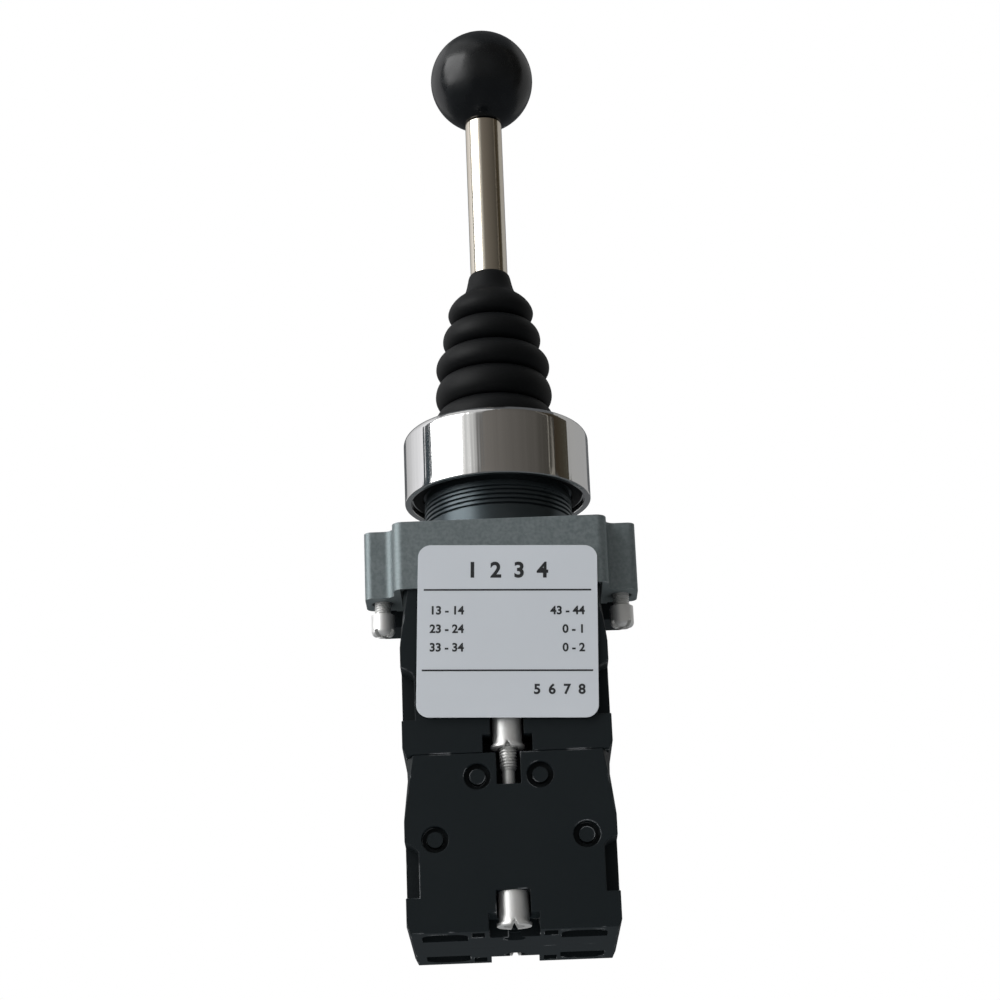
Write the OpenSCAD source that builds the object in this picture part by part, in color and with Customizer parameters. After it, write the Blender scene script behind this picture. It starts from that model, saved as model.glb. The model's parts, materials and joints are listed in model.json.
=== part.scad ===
// Four-way spring-return joystick for a control panel.
// Origin: lever axis at the underside of the bezel, which is the front face of the panel. +Z points to the knob.

/* [Knob and lever] */
// Diameter of the ball knob
knob_d = 22; // [18:0.5:26]
// Height of the knob's centre above the panel face
knob_z = 97; // [90:1:110]
// Diameter of the lever rod
lever_d = 7.8; // [7:0.1:8.2]

/* [Bezel and barrel] */
// Outer diameter of the bezel ring
bezel_d = 37.9; // [37.5:0.1:39]
// Height of the bezel ring
bezel_h = 14.2; // [14:0.1:15]
// Diameter of the barrel that fills the panel hole
barrel_d = 30; // [30:0.1:30.4]

/* [Mounting collar] */
// Space between bezel and collar, which takes the panel
panel_space = 9.75; // [9:0.25:10]
// Width of the collar without its ears
collar_w = 42; // [41:0.5:44]
// Width over the ears
ears_w = 53.6; // [53:0.2:56]

/* [Contact blocks] */
// Width of a contact block
block_w = 40; // [40:0.2:41]
// Depth of a contact block, front to back
block_d = 19; // [19:0.1:19.4]
// Distance between the two rows of blocks
row_pitch = 33.9; // [33.9:0.1:35]

/* [Mechanism] */
// Distance of the push rods from the lever axis
rod_circle_r = 9.6; // [9.5:0.05:9.7]
// Full travel of a push rod either way, at 15 degrees of lever tilt
rod_travel = 2.62; // [2.5:0.02:2.62]
// Height of the two tilt axes above the panel face
pivot_z = 9; // [9:0.1:9.2]

/* [Hidden] */
$fn = 64;
eps = 0.01;

// Barrel and bezel
bezel_r = bezel_d / 2;
bezel_wall = 1.35;
barrel_r = barrel_d / 2;
head_r = bezel_r - 1.6;
head_low = 1.5;
head_high = 11;
head_bore_r = 14.8;
tube_bore_r = 12.5;
panel_land = 2;
core_r = barrel_r - 0.4;
tube_step_z = -14.5;
tube_low = -19;
tube_tail_r = 13.6;
pin_r = 1.25;
pin_fit = 0.03;

// Bellows: centre height and outer radius of each fold, from the top down
folds = [[42.4, 8.75], [35.9, 10.06], [29.55, 11.75], [23.25, 12.0], [16.9, 12.6]];
fold_r = 3.9;
bellows_wall = 1.1;
bellows_top = 50.7;
skirt_r = 14;

// Gimbal and lever hub
gimbal_out_r = 11.6;
gimbal_in_r = 8.4;
gimbal_h = 5;
hub_r = 5.4;
hub_top = pivot_z + 5;
arm_low = pivot_z - 7.6;
arm_high = pivot_z - 5.8;
arm_reach = 12.3;
arm_w = 7.2;

// Push rods
rod_r = 1.5;
rod_fit = 0.05;
collar_on_rod_r = 2.6;
spring_seat_z = -5;
tilt_rod_top = pivot_z - gimbal_h / 2 - 0.35;
arm_rod_top = arm_low - 0.8;
guide_low = -18;
guide_high = -15;
foot_z = -3;
foot_h = 2.2;
foot_w = 2.4;

// Mounting collar and lower guide
collar_top = -panel_space;
collar_low = -23.5;
collar_d = 2 * block_d + 1;
web_low = -20.5;
ear_front = -13.8;
ear_back = -5.2;
clamp_x = 23.5;
clamp_y = -9.6;
clamp_head_top = collar_low - 2.4;
clamp_head_low = collar_low - 6.6;
label_z = -32.7;
lug_front = -4.4;
lug_back = 3.6;
lug_low = -26.8;
lug_out = 24.6;

// Contact blocks; heights are counted down from the block's top face
block_top = collar_low + 1;
block_h = row_pitch - 0.1;
cover_t = 1.8;
body_front = -block_d + cover_t;
cavity_w = 33.6;
cavity_back = -3.2;
cavity_top = -9.6;
cavity_low = -29.4;
screw_y = -15.8;
screw_head_r = 2.85;
screw_head_top = -26.1;
screw_thread_r = 1.7;
screw_groove = 1.6;
head_bore_mouth = -31.4;
plunger_y = -rod_circle_r;
terminal_x = 13.1;
terminal_y = -12.6;
rivets = [[5.95, -4.5], [14.25, -16.25]];
rivet_r = 1.5;
plunger_top = -1;
short_plunger_top = foot_z - foot_h - 0.1;
plunger_body = [-20, -12.5];
contact_gap = 2.75;
bridge_low = -16;
bridge_t = 0.8;
tip_t = 0.6;
fixed_tip_top = bridge_low - tip_t - contact_gap;
strip_t = 0.8;

// Springs
coil_steps = 12;
coil_sides = 5;

// ---- Shared shapes ----

// Cylinder between two heights
module post(r, low, high) translate([0, 0, low]) cylinder(r = r, h = high - low);

// Cylinder along X, centred on the axis
module x_bar(r, from, to) translate([from, 0, 0]) rotate([0, 90, 0]) cylinder(r = r, h = to - from);

// Box between two corners
module block(low, high) translate(low) cube(high - low);

// Rectangle with round corners, centred
module round_rect(w, d, r) {
    square([w - 2 * r, d], center = true);
    square([w, d - 2 * r], center = true);
    for (x = [-1, 1], y = [-1, 1]) translate([x * (w / 2 - r), y * (d / 2 - r)]) circle(r = r);
}

// The same shape on both sides of the YZ plane
module both_sides() {
    children();
    mirror([1, 0, 0]) children();
}

// Coil spring: a round wire carried along a helix
module coil(mid_r, wire_r, low, high, turns) {
    steps = turns * coil_steps;
    climb = (high - low - 2 * wire_r) / steps;
    points = [for (i = [0:steps], k = [0:coil_sides - 1])
        let (turn = 360 * i / coil_steps, round = 360 * k / coil_sides, r = mid_r + wire_r * cos(round))
        [r * cos(turn), r * sin(turn), low + wire_r + climb * i + wire_r * sin(round)]];
    sides = [for (i = [0:steps - 1], k = [0:coil_sides - 1])
        let (a = i * coil_sides + k, b = i * coil_sides + (k + 1) % coil_sides)
        [a, a + coil_sides, b + coil_sides, b]];
    first = [for (k = [0:coil_sides - 1]) k];
    last = [for (k = [coil_sides - 1:-1:0]) steps * coil_sides + k];
    polyhedron(points, concat([first], sides, [last]), convexity = 10);
}

// ---- Knob, lever and bellows ----

module ball_knob() color("#151515") difference() {
    translate([0, 0, knob_z]) sphere(r = knob_d / 2);
    translate([0, 0, knob_z - 1.5 * knob_d]) cylinder(r = knob_d, h = 1.5 * knob_d - 0.93 * knob_d / 2);
    post(3.02, 0, knob_z + 2.2);
}

// The rod ends in a stud for the knob, and its lower end is cross-drilled for the pin
module lever_rod() color("silver") difference() {
    union() {
        post(lever_d / 2, pivot_z - 6, knob_z - 0.93 * knob_d / 2);
        post(3, knob_z - knob_d / 2, knob_z + 2);
    }
    translate([0, 0, pivot_z]) rotate([0, 0, 90]) x_bar(pin_r + rod_fit, -lever_d, lever_d);
}

// Sleeve for the rod, with an arm to each side that presses a push rod
module lever_hub() color("slategray") difference() {
    union() {
        post(hub_r, arm_low, hub_top);
        intersection() {
            post(arm_reach, arm_low, arm_high);
            block([-arm_reach, -arm_w / 2, arm_low], [arm_reach, arm_w / 2, arm_high]);
        }
    }
    post(lever_d / 2 + 0.02, pivot_z - 6, hub_top + 1);
    translate([0, 0, pivot_z]) rotate([0, 0, 90]) x_bar(pin_r + rod_fit, -hub_r - 1, hub_r + 1);
}

module gimbal_ring() color("darkgray") difference() {
    post(gimbal_out_r, pivot_z - gimbal_h / 2, pivot_z + gimbal_h / 2);
    post(gimbal_in_r, pivot_z - gimbal_h, pivot_z + gimbal_h);
    translate([0, 0, pivot_z]) {
        x_bar(pin_r + pin_fit, -gimbal_out_r - 1, gimbal_out_r + 1);
        rotate([0, 0, 90]) x_bar(pin_r + 0.01, -gimbal_out_r - 1, gimbal_out_r + 1);
    }
}

module cross_pin() color("silver")
    translate([0, 0, pivot_z]) rotate([0, 0, 90]) x_bar(pin_r, -gimbal_out_r + 0.1, gimbal_out_r - 0.1);

module pivot_pins() color("silver")
    both_sides() translate([0, 0, pivot_z]) x_bar(pin_r, gimbal_in_r + 0.6, head_r - 0.2);

// Outer or inner form of the folds, drawn as rings on a tapering core
module bellows_form(shrink, core) {
    rotate_extrude() polygon(core);
    for (fold = folds)
        translate([0, 0, fold[0]]) rotate_extrude()
            translate([fold[1] - fold_r, 0]) circle(r = fold_r - shrink);
}

module bellows() color("#1c1c1c") difference() {
    union() {
        bellows_form(0, [[0, 12.4], [skirt_r, 12.4], [skirt_r, 14.6], [10.9, 20.2],
            [10.8, 26.6], [9.2, 33.2], [7.6, 39.6], [5, 46], [4.3, bellows_top], [0, bellows_top]]);
        post(head_r - 0.3, head_high, 12.2);
        post(skirt_r, head_high, 13);
    }
    bellows_form(bellows_wall, [[0, 10], [12.6, 10], [12.6, 14.6], [9.8, 20.2],
        [9.6, 26.6], [8, 33.2], [6.4, 39.6], [4.1, 45], [0, 45]]);
    post(lever_d / 2 + 0.05, 44, bellows_top + 1);
}

// ---- Bezel, gasket and barrel ----

// Shell of the bezel: the rim stands on the panel, the lip clamps the bellows
module bezel_ring() color("gainsboro") difference() {
    rotate_extrude() difference() {
        union() {
            translate([0, 0]) square([bezel_r, bezel_h - 2.5]);
            square([bezel_r - 2.5, bezel_h]);
            translate([bezel_r - 2.5, bezel_h - 2.5]) circle(r = 2.5);
        }
        translate([0, -1]) square([14.6, bezel_h + 2]);
        translate([0, -1]) square([bezel_r - bezel_wall, head_low + 1]);
        square([head_r + 0.03, 12.2]);
        translate([bezel_r - 0.35, -1]) rotate([0, 0, -45]) square([2, 2]);
    }
}

module panel_gasket() color("#101010") difference() {
    post(bezel_r - bezel_wall - 0.1, 0.4, head_low);
    post(barrel_r + 0.05, 0, head_low + 1);
}

// Head, land in the panel hole, threaded length at its mean radius, plain tail
module threaded_barrel() color("#3c4248") difference() {
    rotate_extrude() polygon([[0, head_high], [head_r, head_high], [head_r, head_low], [core_r, head_low],
        [core_r, 0], [barrel_r, 0], [barrel_r, -panel_land], [core_r, -panel_land], [core_r, tube_step_z],
        [tube_tail_r, tube_step_z], [tube_tail_r, tube_low], [0, tube_low]]);
    difference() {
        rotate_extrude() polygon([[0, -18], [tube_bore_r, -18], [tube_bore_r, 0.6], [head_bore_r, 3.6],
            [head_bore_r, head_high + 1], [0, head_high + 1]]);
        both_sides() translate([0, 0, pivot_z]) x_bar(2, 12.1, head_r);
    }
    post(11.6, tube_low - 1, 0);
    translate([0, 0, pivot_z]) x_bar(pin_r + 0.01, -head_r - 1, head_r + 1);
}

// ---- Push rods and their guides ----

module rod_places() for (a = [0:90:270]) rotate([0, 0, a]) translate([rod_circle_r, 0, 0]) children();

module rod_guide() color("goldenrod") difference() {
    post(tube_bore_r - 0.03, guide_low, guide_high);
    rod_places() post(rod_r + rod_fit, guide_low - 1, guide_high + 1);
    post(4, guide_low - 1, guide_high + 1);
}

// Black plate in the collar's underside, with a lug beyond each end that keys under the collar
module lower_guide() color("#1a1d1f") difference() {
    union() {
        translate([0, 0, block_top]) linear_extrude(web_low - block_top) round_rect(34, 34, 1.5);
        both_sides() {
            block([16, lug_front, block_top], [lug_out, lug_back, web_low]);
            block([19.75, lug_front, lug_low + 1], [lug_out, lug_back, web_low]);
            block([19.75, lug_front, lug_low], [lug_out - 1, lug_back, collar_low]);
            translate([lug_out - 1, lug_back, lug_low + 1]) rotate([90, 0, 0]) cylinder(r = 1, h = lug_back - lug_front);
        }
    }
    rod_places() post(rod_r + rod_fit, block_top - 1, web_low + 1);
    for (y = [-1, 1]) translate([0, y * screw_y, 0]) post(screw_thread_r + 0.1, block_top - 1, web_low + 1);
}

// Plain push rod with a dome at the top and a seat for its spring
module push_rod(top, low) {
    post(rod_r, low, top - rod_r);
    translate([0, 0, top - rod_r]) sphere(r = rod_r);
    post(collar_on_rod_r, spring_seat_z, spring_seat_z + 1);
}

module short_rod(angle) color("silver")
    rotate([0, 0, angle]) translate([rod_circle_r, 0, 0]) push_rod(tilt_rod_top, block_top + plunger_top + 0.1);

// Long rod: its foot reaches across to the plunger of a lower block
module long_rod(angle) color("silver") {
    foot_top = block_top - row_pitch + foot_z;
    reach = sqrt(2) * rod_circle_r;
    rotate([0, 0, angle]) translate([rod_circle_r, 0, 0]) {
        push_rod(arm_rod_top, foot_top);
        translate([0, 0, foot_top - foot_h]) linear_extrude(foot_h) {
            rotate([0, 0, 135]) translate([0, -foot_w / 2]) square([reach, foot_w]);
            circle(r = foot_w / 2);
            translate([-rod_circle_r, rod_circle_r]) circle(r = 2);
        }
    }
}

module rod_spring(angle) color("gray")
    rotate([0, 0, angle]) translate([rod_circle_r, 0, 0]) coil(2.1, 0.25, guide_high, spring_seat_z, 6);

// ---- Mounting collar, clamp screws and label ----

module ear() {
    translate([0, 0, collar_low]) linear_extrude(collar_top - collar_low) difference() {
        union() {
            translate([collar_w / 2 - 2, ear_front]) square([ears_w / 2 - collar_w / 2 + 0.5, ear_back - ear_front]);
            translate([collar_w / 2 - 2, ear_front + 1.5])
                square([ears_w / 2 - collar_w / 2 + 2, ear_back - ear_front - 3]);
            for (y = [ear_front + 1.5, ear_back - 1.5]) translate([ears_w / 2 - 1.5, y]) circle(r = 1.5);
            translate([collar_w / 2 - 1, ear_front - 1.8]) square([2.8, 2]);
        }
        translate([collar_w / 2 + 1.8, ear_front - 1.8]) circle(r = 1.8);
    }
}

module mounting_collar() color("#8d9699") difference() {
    union() {
        translate([0, 0, collar_low]) linear_extrude(collar_top - collar_low)
            round_rect(collar_w, collar_d, 2);
        both_sides() ear();
    }
    post(barrel_r + 0.03, tube_step_z, collar_top + 1);
    post(tube_tail_r + 0.02, tube_low, collar_top);
    post(12.3, collar_low - 1, 0);
    translate([0, 0, collar_low - 1]) linear_extrude(web_low - collar_low + 1) round_rect(34.1, 34.1, 1.5);
    block([-19.6, -block_d - 0.1, collar_low - 1], [19.6, block_d + 0.1, block_top]);
    both_sides() {
        block([16, lug_front - 0.1, collar_low - 1], [collar_w / 2 + 1, lug_back + 0.1, web_low]);
        translate([clamp_x, clamp_y, 0]) {
            post(1.65, collar_low - 1, collar_top + 1);
            post(2.1, collar_low - 1, collar_low + 0.6);
        }
    }
    for (y = [-1, 1]) translate([0, y * screw_y, 0]) post(screw_thread_r + 0.05, collar_low - 1, web_low + 4);
}

// Cheese-head screws that come up through the ears and press on the panel
module clamp_screws() color("#c9cccd") both_sides() translate([clamp_x, clamp_y, 0]) difference() {
    union() {
        post(1.6, clamp_head_top - 0.5, collar_top - 0.5);
        rotate_extrude() {
            translate([0, clamp_head_low + 1]) square([2.3, clamp_head_top - clamp_head_low - 1]);
            translate([0, clamp_head_low]) square([1.3, 1.1]);
            translate([1.3, clamp_head_low + 1]) circle(r = 1);
        }
    }
    translate([0, 0, clamp_head_low]) for (a = [35, 125]) rotate([0, 0, a]) cube([6, 0.8, 2.2], center = true);
}

// Bare plate on collar and upper block, a little crooked, with a pad behind it where the block stands back
module label_plate() color("#b9bcbf") translate([0.85, -collar_d / 2, label_z]) {
    rotate([0, 2.2, 0]) rotate([90, 0, 0]) linear_extrude(0.4) round_rect(34.8, 34.4, 2.5);
    block([-15, 0, 2.6 - 34.4 / 2], [15, collar_d / 2 - block_d, collar_low - 0.1 - label_z]);
}

// ---- Contact blocks ----

// Puts a block's part in its row (0 above, 1 below) and turns it for the back
module in_block(row, back) translate([0, 0, block_top - row * row_pitch]) rotate([0, 0, back * 180]) children();

// Front outline of a block, from its inner depth to its outer one
module block_outline(outer, inner) {
    half = [[block_w / 2 - 0.6, 0], [block_w / 2 - 0.85, -4.7], [block_w / 2, -12.7],
        [block_w / 2, 1.4 - block_h], [block_w / 2 - 0.7, -block_h]];
    other = [for (i = [len(half) - 1:-1:0]) [-half[i][0], half[i][1]]];
    translate([0, inner, 0]) rotate([90, 0, 0]) linear_extrude(inner - outer) polygon(concat(half, other));
}

// Slanting cut on the upper part of a front edge
module edge_bevel() {
    start = [block_w / 2 - 2, -block_d, 0];
    across = [1.4, 4.5, 0];
    down = [1.9, 0, -12];
    n = cross(down, across);
    both_sides() translate(start) rotate([0, -asin(n[2] / norm(n)), atan2(n[1], n[0])])
        translate([0, -20, -20]) cube([10, 40, 40]);
}

// Recess in a side edge, with a hole for the wire in its inner wall
module wire_entry() both_sides() {
    translate([0, -13.5, 0]) rotate([90, 0, 0]) linear_extrude(block_d) intersection() {
        translate([17.4, -27.1]) square([5, 11]);
        union() {
            translate([21, -20.9]) circle(r = 4.4);
            translate([16, -28]) square([6, 7.1]);
        }
    }
    translate([0, -15.2, -24]) x_bar(1.3, 15.5, 18);
}

// Channels in the front face for the tip and the head of the fixing screws
module screw_channels() {
    block([-2.3, -block_d - 1, -6.1], [2.3, -13.4, 1]);
    block([-3.2, -block_d - 1, -31], [3.2, -12.85, screw_head_top]);
    block([-4.75, -block_d - 1, -block_h - 1], [4.75, -11.4, -30.4]);
}

// Slot in the top that leads a long rod's foot to the plunger
module foot_slot() translate([0, 0, foot_z - foot_h - 3]) linear_extrude(20) {
    translate([-rod_circle_r, 0]) {
        rotate([0, 0, -45]) translate([0, -1.6]) square([sqrt(2) * rod_circle_r, 3.2]);
        circle(r = 2);
    }
    translate([0, plunger_y]) circle(r = 2.4);
}

// Screwdriver opening in the bottom over a terminal screw
module driver_opening() translate([terminal_x, terminal_y, -block_h - 1])
    linear_extrude(block_h + cavity_low + 2) union() {
        round_rect(8.6, 7.6, 2.8);
        translate([0, 1.9]) square([8.6, 3.8], center = true);
    }

// The grooves for the long rods run through an upper block and end below the rod's foot in a lower one
module housing(row) color("#1b1f22") {
    groove_low = row == 0 ? -block_h - 1 : foot_z - foot_h - 3;
    difference() {
        block_outline(body_front, 0);
        difference() {
            block([-cavity_w / 2, body_front - 1, cavity_low], [cavity_w / 2, cavity_back, cavity_top]);
            block([-4.4, body_front - 2, -block_h], [4.4, -12.3, 0]);
            translate([0, plunger_y, 0]) post(2.1, cavity_low - 1, -24.9);
            both_sides() {
                block([9, -8.4, cavity_low - 1], [cavity_w / 2 + 1, 0, fixed_tip_top - tip_t - strip_t]);
                translate([rivets[1][0], 0, rivets[1][1]]) rotate([90, 0, 0]) cylinder(r = 2.2, h = block_d);
            }
        }
        edge_bevel();
        wire_entry();
        screw_channels();
        foot_slot();
        translate([0, plunger_y, 0]) post(rod_r + rod_fit, -block_h - 1, 1);
        translate([0, plunger_y, 0]) post(2.1, -block_h - 1, -block_h + 1.5);
        block([-screw_groove, -block_d, -30.8], [screw_groove, screw_y + screw_groove, 1]);
        both_sides() {
            driver_opening();
            translate([rod_circle_r, 0, 0]) post(rod_r + 0.4, groove_low, 1);
            block([5.6, -17.6, -block_h - 1], [8.1, -12, -block_h + 1.5]);
        }
    }
    both_sides() for (at = rivets)
        translate([at[0], body_front, at[1]]) rotate([90, 0, 0]) cylinder(r = rivet_r, h = cover_t - 0.35);
}

module cover() color("#1b1f22") difference() {
    block_outline(-block_d, body_front);
    edge_bevel();
    wire_entry();
    screw_channels();
    both_sides() for (at = rivets) translate([at[0], 0, at[1]]) rotate([90, 0, 0]) {
        cylinder(r = rivet_r + 0.03, h = block_d + 1);
        translate([0, 0, block_d - 0.9]) cylinder(r = 2.55, h = 2);
    }
}

// Slider that carries the bridge through a slot
module plunger(top) color("ivory") translate([0, plunger_y, 0]) difference() {
    union() {
        post(rod_r, plunger_body[1] - 1, top);
        block([-3, -2.5, plunger_body[0]], [3, 2.5, plunger_body[1]]);
        post(rod_r, -28.5, plunger_body[0] + 1);
    }
    block([-4, -1.85, bridge_low - 0.02], [4, 1.85, bridge_low + bridge_t + 0.02]);
}

module bridge() color("goldenrod") translate([0, plunger_y, 0]) {
    block([-9.6, -1.8, bridge_low], [9.6, 1.8, bridge_low + bridge_t]);
    both_sides() translate([8, 0, 0]) post(1.5, bridge_low - tip_t, bridge_low + eps);
}

module contact_spring() color("gray")
    translate([0, plunger_y, 0]) coil(2.4, 0.22, cavity_low, plunger_body[0], 6);

// Bent strip: fixed contact at one end, clamp plate at the other
module terminals() color("goldenrod") both_sides() difference() {
    arm_z = fixed_tip_top - tip_t - strip_t;
    union() {
        translate([8, plunger_y, 0]) post(1.5, fixed_tip_top - tip_t - eps, fixed_tip_top);
        block([6.2, -11.6, arm_z], [16.5, -7.6, arm_z + strip_t]);
        block([15.5, -11.6, -22.9], [16.5, -8.6, arm_z + strip_t]);
        block([9.4, -16.6, -22.9], [16.5, -8.6, -21.9]);
    }
    translate([terminal_x, terminal_y, 0]) post(1.6, -24, -21);
}

module clamps() color("#c9cccd") both_sides() translate([terminal_x, terminal_y, 0]) {
    difference() {
        union() {
            post(1.55, -26.5, -21.1);
            post(2.8, -28.4, -26);
        }
        translate([0, 0, -28.4]) rotate([0, 0, 35]) cube([7, 0.9, 2], center = true);
    }
    difference() {
        translate([0, 0, -25.99]) linear_extrude(0.9) round_rect(6.6, 6.4, 0.6);
        post(1.7, -27, -24);
    }
}

// Screw that holds a block; its head is tapped for the tip of the next one and slotted below
module fixing_screw() color("#d4d6d7") translate([0, screw_y, 0]) difference() {
    union() {
        post(screw_thread_r, -3, 5.8);
        post(1.25, -30, -2);
        post(screw_head_r, -32.6, screw_head_top);
        post(3.3, -32.6, -32);
    }
    post(screw_thread_r + 0.05, -34, -27.9);
    post(2, -34, head_bore_mouth);
    rotate([90, 0, 0]) linear_extrude(8, center = true)
        polygon([[-0.7, -34], [0.7, -34], [0.6, -32.5], [0, head_bore_mouth], [-0.6, -32.5]]);
}

// ---- Assembly ----

ball_knob();
lever_rod();
lever_hub();
gimbal_ring();
cross_pin();
pivot_pins();
bellows();
bezel_ring();
panel_gasket();
threaded_barrel();
rod_guide();
mounting_collar();
lower_guide();
clamp_screws();
label_plate();
short_rod(-90);  // front_rod
short_rod(90);  // back_rod
long_rod(180);  // left_rod
long_rod(0);  // right_rod
rod_spring(-90);  // front_rod_spring
rod_spring(90);  // back_rod_spring
rod_spring(180);  // left_rod_spring
rod_spring(0);  // right_rod_spring
for (row = [0, 1], back = [0, 1]) {
    name = str(back == 0 ? "front_" : "back_", row == 0 ? "upper_" : "lower_");
    in_block(row, back) {
        housing(row);
        cover();
        plunger(row == 0 ? plunger_top : short_plunger_top);
        bridge();
        contact_spring();
        terminals();
        clamps();
        fixing_screw();
    }
}
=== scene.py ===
# %% [markdown]
# # A four-way panel joystick
# This lesson dresses a joystick for a control panel: a ball knob on a chromed lever, a rubber bellows,
# a chromed bezel, a die-cast collar and a stack of black contact blocks. The construction model gives
# every size and every joint. Here each visible skin gets the fine form and the finish of the real one.

import json
import math

import bmesh
import bpy
import numpy as np
from mathutils import Matrix, Vector


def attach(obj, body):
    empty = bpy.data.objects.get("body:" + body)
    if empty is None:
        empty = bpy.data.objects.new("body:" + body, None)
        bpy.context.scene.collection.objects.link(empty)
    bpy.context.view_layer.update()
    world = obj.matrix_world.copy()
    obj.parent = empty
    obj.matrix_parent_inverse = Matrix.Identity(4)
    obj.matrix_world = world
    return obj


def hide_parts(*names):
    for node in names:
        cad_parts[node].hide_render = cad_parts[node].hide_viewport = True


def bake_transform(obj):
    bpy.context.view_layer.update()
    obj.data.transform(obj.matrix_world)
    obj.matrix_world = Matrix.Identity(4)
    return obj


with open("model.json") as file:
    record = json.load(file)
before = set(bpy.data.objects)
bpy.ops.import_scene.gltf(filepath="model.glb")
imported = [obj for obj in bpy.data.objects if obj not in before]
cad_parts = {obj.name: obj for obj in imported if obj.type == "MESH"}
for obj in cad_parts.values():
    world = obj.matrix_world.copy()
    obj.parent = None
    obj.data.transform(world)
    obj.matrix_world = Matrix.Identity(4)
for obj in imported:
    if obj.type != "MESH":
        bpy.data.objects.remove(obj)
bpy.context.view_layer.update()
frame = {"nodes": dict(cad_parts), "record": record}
MM = 0.001

# %% [markdown]
# ## Camera
# The viewer stands low in front of the label side and looks up, so the end face of the lowest block
# shows. A long lens keeps the blocks from flaring. The camera is set from its two view angles and a
# small roll, which is how a hand-held camera sits.

# %% A new object in the scene
scene = bpy.context.scene


def placed(name, data):
    """An object that holds the given mesh, lamp, camera or text, linked into the scene."""
    made = bpy.data.objects.new(name, data)
    scene.collection.objects.link(made)
    return made


# %% Camera
camera = placed("Camera", bpy.data.cameras.new("Camera"))
scene.camera = camera
VIEWPOINT = Vector((-0.507, -476.43, -165.46)) * MM
pitch, yaw, roll = 0.33571, 0.00198, -0.03927
forward = Vector((math.sin(yaw) * math.cos(pitch), math.cos(yaw) * math.cos(pitch), math.sin(pitch)))
level = Vector((math.cos(yaw), -math.sin(yaw), 0))
upright = level.cross(forward)
right = level * math.cos(roll) + upright * math.sin(roll)
up = upright * math.cos(roll) - level * math.sin(roll)
turn = Matrix((right, up, -forward)).transposed().to_4x4()
camera.matrix_world = Matrix.Translation(VIEWPOINT) @ turn
camera.data.lens = 88.89
camera.data.sensor_width = 36
camera.data.clip_start = 0.01
print("camera at", [round(v, 4) for v in camera.matrix_world.translation])

# %% [markdown]
# ## Studio
# The joystick is held up by its panel, so the pale floor lies well below it and only catches a soft
# shadow. A large soft window on the left is the main light, and weak ones fill from the right, above
# and behind. Chrome shows whatever stands around it, so plain cards that only reflections can see give
# the bezel and the lever their bands: from the left a pale wall, a dark window frame, the window, a
# curtain that fades into a warm grey room, a dark door frame and another pale wall.

# %% Studio helpers
scene.view_settings.view_transform = "Standard"
AIM = Vector((0, 0, -5)) * MM


def around(azimuth, elevation, distance):
    """A point on a sphere round the joystick. Azimuth 0 is in front of the label, positive to the right."""
    a, e = math.radians(azimuth), math.radians(elevation)
    return AIM + distance * Vector((math.sin(a) * math.cos(e), -math.cos(a) * math.cos(e), math.sin(e)))


def facing(place, target=AIM):
    """A matrix at place whose local -Z looks at the target."""
    return Matrix.Translation(place) @ (target - place).to_track_quat("-Z", "Y").to_matrix().to_4x4()


def soft_box(name, azimuth, elevation, distance, width, height, power, mirrored=True):
    """A rectangular lamp that looks at the joystick. The camera never sees it, and mirrored says
    whether reflections do."""
    lamp = bpy.data.lights.new(name, "AREA")
    lamp.shape = "RECTANGLE"
    lamp.size, lamp.size_y, lamp.energy = width, height, power
    box = placed(name, lamp)
    box.matrix_world = facing(around(azimuth, elevation, distance))
    box.visible_camera = False
    box.visible_glossy = mirrored


def card(name, azimuth, elevation, distance, width, height, left, right):
    """A flat glowing card that only reflections can see. Its colour runs from left to right, as the
    joystick sees it."""
    mesh = bpy.data.meshes.new(name)
    x, y = width / 2, height / 2
    mesh.from_pydata([(-x, -y, 0), (x, -y, 0), (x, y, 0), (-x, y, 0)], [], [(0, 1, 2, 3)])
    board = placed(name, mesh)
    board.matrix_world = facing(around(azimuth, elevation, distance))
    glow = bpy.data.materials.new(name)
    glow.use_nodes = True
    tree = glow.node_tree
    tree.nodes.clear()
    place = tree.nodes.new("ShaderNodeTexCoord")
    split = tree.nodes.new("ShaderNodeSeparateXYZ")
    across = tree.nodes.new("ShaderNodeMapRange")
    across.inputs["From Min"].default_value, across.inputs["From Max"].default_value = -x, x
    blend = tree.nodes.new("ShaderNodeMix")
    blend.data_type = "RGBA"
    blend.inputs["A"].default_value = (*left, 1)
    blend.inputs["B"].default_value = (*right, 1)
    emission = tree.nodes.new("ShaderNodeEmission")
    out = tree.nodes.new("ShaderNodeOutputMaterial")
    tree.links.new(place.outputs["Object"], split.inputs[0])
    tree.links.new(split.outputs["X"], across.inputs["Value"])
    tree.links.new(across.outputs[0], blend.inputs["Factor"])
    tree.links.new(blend.outputs["Result"], emission.inputs["Color"])
    tree.links.new(emission.outputs[0], out.inputs[0])
    mesh.materials.append(glow)
    board.visible_camera = board.visible_diffuse = False
    board.visible_shadow = board.visible_transmission = False


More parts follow.
